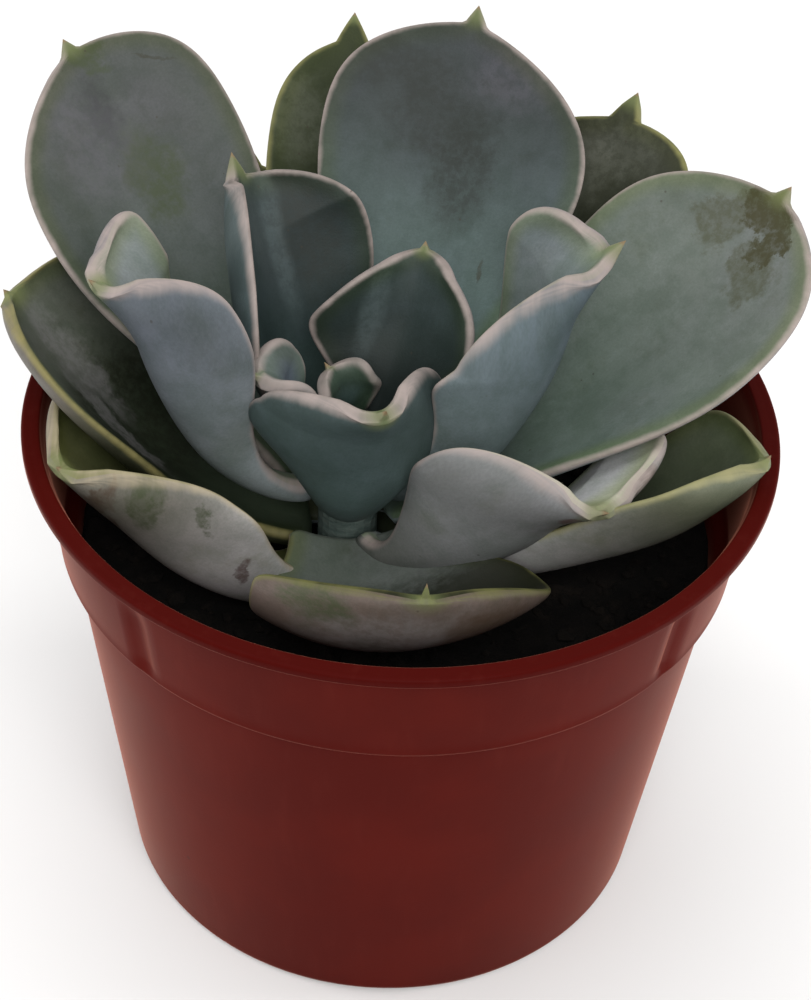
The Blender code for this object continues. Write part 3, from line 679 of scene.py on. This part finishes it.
# Each kind of mark: its tone, how strong it is, how soft its edge is and how far that edge wanders, in mm.
MARK_KINDS = {
    "shade": ((38, 42, 38), 0.66, 0.50, 12.0), "violet": ((98, 94, 104), 0.30, 0.55, 9.0),
    "olive": ((58, 67, 42), 0.75, 0.35, 9.0), "patch": ((58, 57, 36), 1.0, 0.10, 12.0),
    # sheen is a painted highlight, a light streak along the midrib crease.
    "faint": ((70, 73, 56), 0.80, 0.25, 12.0), "sheen": ((112, 126, 128), 0.20, 0.60, 2.0),
    "scar": ((84, 62, 58), 0.80, 0.18, 4.0), "brown": ((70, 56, 44), 0.80, 0.30, 8.0),
    "rust": ((158, 96, 44), 0.90, 0.25, 3.0), "crack": ((56, 56, 46), 0.80, 0.30, 2.5),
    "frost": ((132, 130, 130), 0.42, 0.50, 12.0), "bloom": ((110, 112, 102), 0.26, 0.50, 12.0),
    # dark is painted shade, laid on an inner face where the leaf lies in deep shadow.
    "dark": ((26, 29, 19), 0.85, 0.35, 9.0),
}
# Tones of the other materials
POT_RED = (71, 14, 9)
POT_RED_CLOUDS = (78, 17, 11)
LIP_RED = (64, 9, 6)
SCUFF = (128, 62, 52)
GRIME = (44, 26, 22)
POT_SHEEN = (240, 158, 132)
# The compost tones are dark moist compost, made near black as painted shade for the shadow under the
# leaves.
COMPOST_DARK = (7, 6, 5)
COMPOST_BROWN = (20, 16, 13)
COMPOST_PALE = (34, 27, 22)
BARK_DARK = (74, 88, 84)
BARK_PALE = (96, 108, 102)


def add_mark(recipe, colour, mark, flat, wander, fill, face):
    # One ragged, mottled spot laid over a colour.
    kind, mark_face, x, y, half_x, half_y, turn = mark
    shade, strength, soft, reach = MARK_KINDS[kind]
    # The noise varies about 0.5, so half its reach is taken off.
    moved = recipe.mapped(flat, (1.0, 1.0, 1.0), (-x - reach / 2.0, -y - reach / 2.0, 0.0))
    warped = recipe.add("ShaderNodeVectorMath", operation='MULTIPLY_ADD')
    recipe.put(warped.inputs[0], wander)
    recipe.put(warped.inputs[1], (reach, reach, 0.0))
    recipe.put(warped.inputs[2], moved)
    turned = recipe.add("ShaderNodeVectorRotate", rotation_type='Z_AXIS')
    recipe.put(turned.inputs["Vector"], warped.outputs["Vector"])
    turned.inputs["Angle"].default_value = math.radians(-turn)
    sized = recipe.mapped(turned.outputs["Vector"], (1.0 / half_x, 1.0 / half_y, 0.0))
    away = recipe.add("ShaderNodeVectorMath", operation='LENGTH')
    recipe.put(away.inputs[0], sized)
    there = recipe.smooth(away.outputs["Value"], 1.0 + soft, 1.0 - soft)
    there = recipe.math('MULTIPLY', there, recipe.smooth(face, -0.1 * mark_face, 0.1 * mark_face))
    there = recipe.math('MULTIPLY', there, recipe.math('MULTIPLY', fill, strength))
    return recipe.mix(there, colour, tone(*shade))


def bloom(recipe, look, face, clouds):
    # The bloom of both faces, from foot to end.
    up_the_leaf = recipe.smooth(recipe.attribute("along"), *look["span"])
    inner = recipe.mix(up_the_leaf, tone(*look["low"]), tone(*look["high"]))
    inner = recipe.mix(recipe.smooth(clouds, 0.42, 0.66), inner, VIOLET_CLOUDS, 'MULTIPLY')
    outer = recipe.mix(up_the_leaf, tone(*look["under_low"]), tone(*look["under"]))
    outer = recipe.mix(recipe.smooth(clouds, 0.40, 0.64), outer, DARK_CLOUDS, 'MULTIPLY')
    return recipe.mix(recipe.smooth(face, 0.2, -0.2), inner, outer)


def worn(recipe, colour, place, rub, wisps):
    # Where the bloom is rubbed thin the green shows.
    thin = recipe.smooth(recipe.noise(place, 0.11, 5.0, 0.62), 0.52, 0.70)
    colour = recipe.mix(recipe.math('MULTIPLY', thin, rub), colour, RUBBED, 'MULTIPLY')
    streaks = recipe.math('MULTIPLY', recipe.smooth(wisps, 0.40, 0.66), 0.30)
    return recipe.mix(streaks, colour, STREAKED, 'MULTIPLY')


def speckled(recipe, colour, place, grain):
    # The bloom is cloudy and finely speckled.
    mottle = recipe.smooth(recipe.noise(place, 0.17, 7.0, 0.72), 0.42, 0.62)
    colour = recipe.mix(recipe.math('MULTIPLY', mottle, 0.8), colour, MOTTLED, 'MULTIPLY')
    dust = recipe.smooth(recipe.noise(place, 0.13, 6.0, 0.7), 0.50, 0.66)
    colour = recipe.mix(recipe.math('MULTIPLY', dust, 0.7), colour, DUSTY, 'MULTIPLY')
    dots = recipe.math('MULTIPLY', recipe.smooth(grain, 0.35, 0.65), 0.35)
    return recipe.mix(dots, colour, GRAINY, 'MULTIPLY')


def marked(recipe, colour, marks, flat, place, face):
    wander = recipe.noise(place, 0.24, 6.0, 0.66, "Color")
    patches = recipe.smooth(recipe.noise(place, 0.7, 5.0, 0.7), 0.36, 0.60)
    fill = recipe.scaled(patches, 0.5, 0.5)
    for mark in marks:
        colour = add_mark(recipe, colour, mark, flat, wander, fill, face)
    return colour


def edged(recipe, colour, look, place, face):
    # The pale margin and the olive line inside it.
    band = look["band"]
    uneven = recipe.scaled(recipe.noise(place, 0.28, 3.0), 0.8, recipe.attribute("rim"))
    line = recipe.smooth(uneven, band + 3.6, band + 0.7)
    line = recipe.math('MULTIPLY', line, look["olive"])
    line = recipe.math('MULTIPLY', line, recipe.smooth(face, -0.4, 0.4))
    colour = recipe.mix(line, colour, OLIVE_LINE, 'MULTIPLY')
    pale = recipe.smooth(uneven, band + 0.6, band - 0.5)
    return recipe.mix(pale, colour, tone(*look["margin"]))


def pointed(recipe, colour, width):
    # The green point and its dry thorn.
    tip = recipe.attribute("tip")
    reach = TIP_REACH * width
    point = recipe.math('MULTIPLY', recipe.smooth(tip, reach, 0.3 * reach), 0.7)
    colour = recipe.mix(point, colour, tone(*POINT_TONE))
    return recipe.mix(recipe.smooth(tip, 0.9, 0.3), colour, tone(*THORN_TONE))


def rare_specks(recipe, colour, place):
    specks = recipe.math('MULTIPLY', recipe.specks(place, 0.42, 0.10), 0.55)
    rare = recipe.math('MULTIPLY', specks, recipe.smooth(recipe.noise(place, 0.16, 2.0), 0.55, 0.62))
    return recipe.mix(rare, colour, tone(*SPECK_TONE))


def leaf_skin(node, number):
    look = dict(LOOK_DEFAULTS)
    look.update(LOOKS[node])
    recipe = Recipe("skin_" + node.replace("leaf_", ""))
    flat = recipe.attribute("flat", "Vector")
    face = recipe.attribute("face")
    # Each leaf takes its noise from a place of its own
    place = recipe.mapped(flat, (1.0, 1.0, 1.0), (37.0 * number, 11.0 * number, 5.0 * number))
    clouds = recipe.noise(place, 0.055, 3.0)
    wisps = recipe.noise(recipe.mapped(place, (1.0, 0.22, 1.0)), 0.35, 4.0, 0.65)
    grain = recipe.noise(place, 2.6, 3.0, 0.7)
    colour = bloom(recipe, look, face, clouds)
    colour = worn(recipe, colour, place, look["rub"], wisps)
    colour = speckled(recipe, colour, place, grain)
    colour = marked(recipe, colour, look["marks"], flat, place, face)
    colour = edged(recipe, colour, look, place, face)
    colour = pointed(recipe, colour, LEAVES[node]["width"])
    colour = rare_specks(recipe, colour, place)
    recipe.set(Base_Color=colour, Roughness=recipe.scaled(clouds, 0.12, 0.50), Specular_IOR_Level=0.22)
    recipe.bump(recipe.math('ADD', grain, recipe.math('MULTIPLY', wisps, 0.6)), 0.00006, 0.6)
    return recipe.material


def pot_plastic():
    recipe = Recipe("red_plastic")
    place = recipe.place
    clouds = recipe.noise(place, 45.0, 4.0)
    scuffs = recipe.noise(recipe.mapped(place, (1.0, 1.0, 0.12)), 420.0, 3.0, 0.6)
    grain = recipe.noise(place, 2600.0, 2.0, 0.6)
    colour = recipe.mix(recipe.smooth(clouds, 0.35, 0.7), tone(*POT_RED), tone(*POT_RED_CLOUDS))
    colour = recipe.mix(recipe.attribute("lip"), colour, tone(*LIP_RED))
    scuffed = recipe.math('MULTIPLY', recipe.smooth(scuffs, 0.5, 0.8), 0.04)
    colour = recipe.mix(scuffed, colour, tone(*SCUFF))
    grime = recipe.math('MULTIPLY', recipe.specks(place, 110.0, 0.05), 0.7)
    sparse = recipe.smooth(recipe.noise(place, 60.0, 2.0), 0.56, 0.62)
    colour = recipe.mix(recipe.math('MULTIPLY', grime, sparse), colour, tone(*GRIME))
    # A worn matt surface that brightens only where it is seen edge on
    recipe.set(Base_Color=colour, Roughness=recipe.scaled(clouds, 0.14, 0.33), Specular_IOR_Level=0.02,
               Sheen_Weight=0.42, Sheen_Roughness=0.28, Sheen_Tint=tone(*POT_SHEEN))
    recipe.bump(recipe.math('ADD', recipe.math('MULTIPLY', grain, 0.5), clouds), 0.00005, 0.5)
    return recipe.material


def lit(shade, light):
    return tone(*[value * light for value in shade])


def compost(name, light):
    recipe = Recipe(name)
    clumps = recipe.noise(recipe.place, 260.0, 5.0, 0.7)
    fine = recipe.noise(recipe.place, 1500.0, 4.0, 0.7)
    dark = lit(COMPOST_DARK, light)
    brown = lit(COMPOST_BROWN, light)
    colour = recipe.mix(recipe.smooth(clumps, 0.35, 0.75), dark, brown)
    colour = recipe.mix(recipe.smooth(fine, 0.62, 0.8), colour, lit(COMPOST_PALE, light))
    recipe.set(Base_Color=colour, Roughness=recipe.smooth(fine, -1.5, 0.6), Specular_IOR_Level=0.2)
    recipe.bump(recipe.math('ADD', clumps, fine), 0.0006, 0.8)
    return recipe.material


def stem_bark():
    recipe = Recipe("stem_bark")
    rings = recipe.noise(recipe.mapped(recipe.place, (1.0, 1.0, 4.0)), 260.0, 4.0, 0.65)
    fine = recipe.noise(recipe.place, 1300.0, 3.0)
    colour = recipe.mix(recipe.smooth(rings, 0.38, 0.68), tone(*BARK_DARK), tone(*BARK_PALE))
    recipe.set(Base_Color=colour, Roughness=recipe.smooth(fine, -1.2, 0.7), Specular_IOR_Level=0.25)
    recipe.bump(recipe.math('ADD', rings, fine), 0.0003, 0.7)
    return recipe.material


def floor_surface():
    recipe = Recipe("pale_floor")
    soft = recipe.noise(recipe.place, 6.0, 3.0)
    fine = recipe.noise(recipe.place, 900.0, 2.0)
    recipe.set(Base_Color=recipe.mix(soft, tone(238, 238, 238), tone(232, 232, 232)),
               Roughness=recipe.smooth(fine, -2.0, 0.9))
    recipe.bump(fine, 0.00002, 0.2)
    return recipe.material


# Pot and compost

def arc(centre_r, centre_z, radius, start, end, count):
    angles = np.radians(np.linspace(start, end, count))
    return [(centre_r + radius * math.cos(a), centre_z + radius * math.sin(a)) for a in angles]


def straight(start, end, count):
    # All but the last point.
    share = np.linspace(0.0, 1.0, count, endpoint=False)
    return [(start[0] + (end[0] - start[0]) * s, start[1] + (end[1] - start[1]) * s) for s in share]


def pot_profile():
    # From the axis up the inside, over the lip and down the outside back to the axis.
    top = POT_HEIGHT
    under = top - LIP_DEPTH
    collar_z = top - COLLAR_DEPTH
    inner_base = (BASE_R - WALL + 0.1, FLOOR + 2.4)
    inner_step = (SHOULDER_R - WALL, collar_z - 1.0)
    inner_collar = (COLLAR_BOTTOM_R - WALL, collar_z + 0.6)
    inner_neck = (COLLAR_TOP_R - WALL, under)
    inside = [(r, FLOOR) for r in BASE_RINGS]
    inside += arc(BASE_R - WALL - INNER_ROUND, FLOOR + 1.4, INNER_ROUND, -90, 0, 6)
    inside += straight(inner_base, inner_step, 14)
    inside += straight(inner_step, inner_collar, 4)
    inside += straight(inner_collar, inner_neck, 14)
    inside += straight(inner_neck, (LIP_INNER_R, top - LIP_ROUND), 3)
    rim = arc(LIP_INNER_R + LIP_ROUND, top - LIP_ROUND, LIP_ROUND, 180, 90, 5)
    rim += [(LIP_INNER_R + 1.2, top - LIP_DIP), (LIP_OUTER_R - 1.0, top - LIP_DIP)]
    rim += arc(LIP_OUTER_R - LIP_EDGE_ROUND, top - LIP_EDGE_ROUND, LIP_EDGE_ROUND, 90, 0, 7)
    rim += arc(LIP_OUTER_R - LIP_UNDER_ROUND, under + LIP_UNDER_ROUND, LIP_UNDER_ROUND, 0, -90, 5)
    rim += arc(COLLAR_TOP_R + 0.5, under - THROAT_ROUND, THROAT_ROUND, 90, 180, 4)
    outside = straight((COLLAR_TOP_R + 0.05, under - 0.6), (COLLAR_BOTTOM_R, collar_z + 1.2), 18)
    outside += arc(COLLAR_BOTTOM_R - COLLAR_ROUND, collar_z + COLLAR_ROUND, COLLAR_ROUND, 8, -60, 6)
    outside += arc(SHOULDER_R + 0.55, collar_z - 0.75, SHOULDER_ROUND, 120, 175, 4)
    outside += straight((SHOULDER_R, collar_z - 1.2), (BASE_R + 0.15, 1.9), 26)
    outside += arc(BASE_R - 1.5, BASE_ROUND, BASE_ROUND, 0, -90, 9)
    outside += [(r, 0.0) for r in reversed(BASE_RINGS)]
    return inside + rim + outside


def notch(angle, z):
    # How far the wall is pushed in at the stacking notches of the collar.
    push = 0.0
    for heading in NOTCH_HEADINGS:
        away = (angle - math.radians(heading) + math.pi) % (2.0 * math.pi) - math.pi
        push = push + max(0.0, 1.0 - abs(away) * COLLAR_TOP_R / NOTCH_HALF_WIDTH)
    low = POT_HEIGHT - COLLAR_DEPTH
    tall = float(ease((z - low + 0.5) / 3.0) * ease((POT_HEIGHT - 2.0 - z) / 6.0))
    return NOTCH_DEPTH * push * tall


def pot_points(profile):
    # Points round the pot, without the two on its axis, and which of them belong to the lip.
    points = []
    lip = []
    for i in range(POT_STEPS):
        angle = 2.0 * math.pi * i / POT_STEPS
        for r, z in profile[1:-1]:
            push = notch(angle, z) if r > NOTCH_BEYOND_R else 0.0
            points.append(((r - push) * math.cos(angle) * MM, (r - push) * math.sin(angle) * MM, z * MM))
            lip.append(1.0 if z > POT_HEIGHT - LIP_DEPTH - 0.45 and r > LIP_INNER_R - 0.6 else 0.0)
    return points, lip


def pot_faces(inner):
    # Each step round the pot has the given count of points, and the two on the axis come last.
    axis_top = POT_STEPS * inner
    faces = []
    for i in range(POT_STEPS):
        here = i * inner
        after = ((i + 1) % POT_STEPS) * inner
        faces.append((axis_top, here, after))
        for k in range(inner - 1):
            faces.append((here + k, here + k + 1, after + k + 1, after + k))
        faces.append((here + inner - 1, axis_top + 1, after + inner - 1))
    return faces


def drill_drains(pot):
    mesh = bpy.data.meshes.new("drain_drills")
    bm = bmesh.new()
    for i in range(HOLE_COUNT):
        angle = 2.0 * math.pi * (i + 0.5) / HOLE_COUNT
        ring = HOLE_RING_R * MM
        place = Matrix.Translation((ring * math.cos(angle), ring * math.sin(angle), 0.0))
        bmesh.ops.create_cone(bm, cap_ends=True, segments=HOLE_STEPS, radius1=HOLE_R * MM,
                              radius2=HOLE_R * MM, depth=DRILL_DEPTH * MM, matrix=place)
    bm.to_mesh(mesh)
    bm.free()
    drills = placed(mesh, smooth=False)
    cut = pot.modifiers.new("drain", 'BOOLEAN')
    cut.operation = 'DIFFERENCE'
    cut.solver = 'EXACT'
    cut.object = drills
    settle(pot)
    bpy.data.objects.remove(drills, do_unlink=True)


def make_pot():
    profile = pot_profile()
    points, lip = pot_points(profile)
    points += [(0.0, 0.0, profile[0][1] * MM), (0.0, 0.0, 0.0)]
    lip += [0.0, 0.0]
    mesh = bpy.data.meshes.new("nursery_pot")
    mesh.from_pydata(points, [], pot_faces(len(profile) - 2))
    put_attribute(mesh, "lip", 'FLOAT', lip)
    pot = placed(mesh)
    face_out(mesh)
    drill_drains(pot)
    pot.data.materials.append(pot_plastic())
    return pot


def settle(obj):
    # Turns what the modifiers make into the object's own mesh.
    graph = bpy.context.evaluated_depsgraph_get()
    made = bpy.data.meshes.new_from_object(obj.evaluated_get(graph))
    obj.modifiers.clear()
    obj.data = made


def soil_height(x, y):
    r = np.hypot(x, y)
    out = np.clip((r - SOIL_FLAT_R) / 34.0, 0.0, 1.0)
    bowl = SOIL_CENTRE_Z + (SOIL_EDGE_Z - SOIL_CENTRE_Z) * out ** 2
    lumps = 0.35 * np.sin(0.61 * x + 0.4) * np.sin(0.53 * y + 1.1)
    lumps = lumps + 0.22 * np.sin(1.37 * x + 2.1 * np.sin(0.3 * y)) * np.sin(1.21 * y + 0.7)
    lumps = lumps + 0.12 * np.sin(2.9 * x + 1.7 * y) * np.sin(2.3 * y - 1.1 * x)
    return bowl + SOIL_LIFT + lumps * 0.6


def make_soil_top():
    points = []
    for i in range(SOIL_RINGS + 1):
        r = SOIL_R * i / SOIL_RINGS
        for k in range(SOIL_STEPS):
            angle = 2.0 * math.pi * k / SOIL_STEPS
            x = r * math.cos(angle)
            y = r * math.sin(angle)
            points.append((x * MM, y * MM, float(soil_height(x, y)) * MM))
    faces = []
    for i in range(SOIL_RINGS):
        here = i * SOIL_STEPS
        beyond = here + SOIL_STEPS
        for k in range(SOIL_STEPS):
            after = (k + 1) % SOIL_STEPS
            faces.append((here + k, beyond + k, beyond + after, here + after))
    mesh = bpy.data.meshes.new("compost_top")
    mesh.from_pydata(points, [], faces)
    bm = bmesh.new()
    bm.from_mesh(mesh)
    # The points of ring 0 all lie on the axis
    bmesh.ops.remove_doubles(bm, verts=bm.verts, dist=0.01 * MM)
    bm.to_mesh(mesh)
    bm.free()
    top = placed(mesh)
    top.data.materials.append(compost("compost_dark", 1.0))
    return top


def add_crumb(bm, random):
    angle = random.uniform(0.0, 2.0 * math.pi)
    r = SOIL_R * math.sqrt(random.uniform(0.02, 0.96))
    x = r * math.cos(angle)
    y = r * math.sin(angle)
    size = random.uniform(0.35, 1.3) * (1.0 if random.uniform() < SMALL_CRUMBS else 1.5)
    made = bmesh.ops.create_icosphere(bm, subdivisions=1, radius=size * MM)["verts"]
    shape = (random.uniform(0.6, 1.4), random.uniform(0.6, 1.3), random.uniform(0.4, 0.8))
    squash = Matrix.Diagonal(shape)
    turn = Matrix.Rotation(random.uniform(0.0, math.pi), 3, 'Z')
    z = float(soil_height(x, y)) + size * 0.15
    for vertex in made:
        jitter = Vector(random.uniform(-CRUMB_JITTER, CRUMB_JITTER, 3)) * size * MM
        vertex.co = turn @ (squash @ (vertex.co + jitter)) + Vector((x, y, z)) * MM


def make_crumbs():
    random = np.random.default_rng(CRUMB_SEED)
    bm = bmesh.new()
    for _ in range(CRUMB_COUNT):
        add_crumb(bm, random)
    mesh = bpy.data.meshes.new("compost_crumbs")
    bm.to_mesh(mesh)
    bm.free()
    crumbs = placed(mesh, smooth=False)
    crumbs.data.materials.append(compost("compost_crumb", 1.25))
    return crumbs


# Light, floor and camera

def make_floor():
    far = FLOOR_HALF
    mesh = bpy.data.meshes.new("floor")
    mesh.from_pydata([(-far, -far, 0.0), (far, -far, 0.0), (far, far, 0.0), (-far, far, 0.0)], [],
                     [(0, 1, 2, 3)])
    floor = placed(mesh, smooth=False)
    floor.data.materials.append(floor_surface())


def soft_light(name, place, aim_at, width, height, power, colour):
    light = bpy.data.lights.new(name, 'AREA')
    light.shape = 'RECTANGLE'
    light.size = width
    light.size_y = height
    light.energy = power
    light.color = colour
    obj = bpy.data.objects.new(name, light)
    bpy.context.scene.collection.objects.link(obj)
    obj.location = place
    obj.rotation_euler = (Vector(aim_at) - Vector(place)).to_track_quat('-Z', 'Y').to_euler()


def make_lights():
    world = bpy.data.worlds.new("studio")
    bpy.context.scene.world = world
    world.use_nodes = True
    back = world.node_tree.nodes["Background"]
    back.inputs["Color"].default_value = (1.0, 1.0, 1.0, 1.0)
    back.inputs["Strength"].default_value = WORLD_LIGHT
    for light in LIGHTS:
        soft_light(*light)
    bpy.context.scene.view_settings.view_transform = 'Standard'


def make_camera():
    data = bpy.data.cameras.new("camera")
    data.lens = CAMERA_LENS
    data.sensor_width = CAMERA_SENSOR
    data.clip_start = CAMERA_NEAR
    camera = bpy.data.objects.new("camera", data)
    bpy.context.scene.collection.objects.link(camera)
    dip = math.radians(CAMERA_DIP)
    roll = math.radians(CAMERA_ROLL)
    ahead = Vector((0.0, math.cos(dip), -math.sin(dip)))
    right = Vector((1.0, 0.0, 0.0))
    up = right.cross(ahead)
    side = math.cos(roll) * right + math.sin(roll) * up
    top = -math.sin(roll) * right + math.cos(roll) * up
    turn = Matrix((side, top, -ahead)).transposed()
    camera.matrix_world = Matrix.Translation(CAMERA_PLACE) @ turn.to_4x4()
    bpy.context.scene.camera = camera


def main():
    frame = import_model()
    limits = [list(corner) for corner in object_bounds()]
    nodes = frame["nodes"]
    for number, node in enumerate(LEAVES):
        blade = leaf_piece(node, number, limits)
        blade.data.materials.append(leaf_skin(node, number))
        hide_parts(node)
        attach(blade, "root")
    pot = make_pot()
    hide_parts("pot")
    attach(pot, "root")
    for piece in (make_soil_top(), make_crumbs()):
        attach(piece, "root")
    for node, material in (("soil", compost("compost_below", 1.0)), ("stem", stem_bark())):
        nodes[node].data.materials.clear()
        nodes[node].data.materials.append(material)
    make_floor()
    make_lights()
    make_camera()


main()
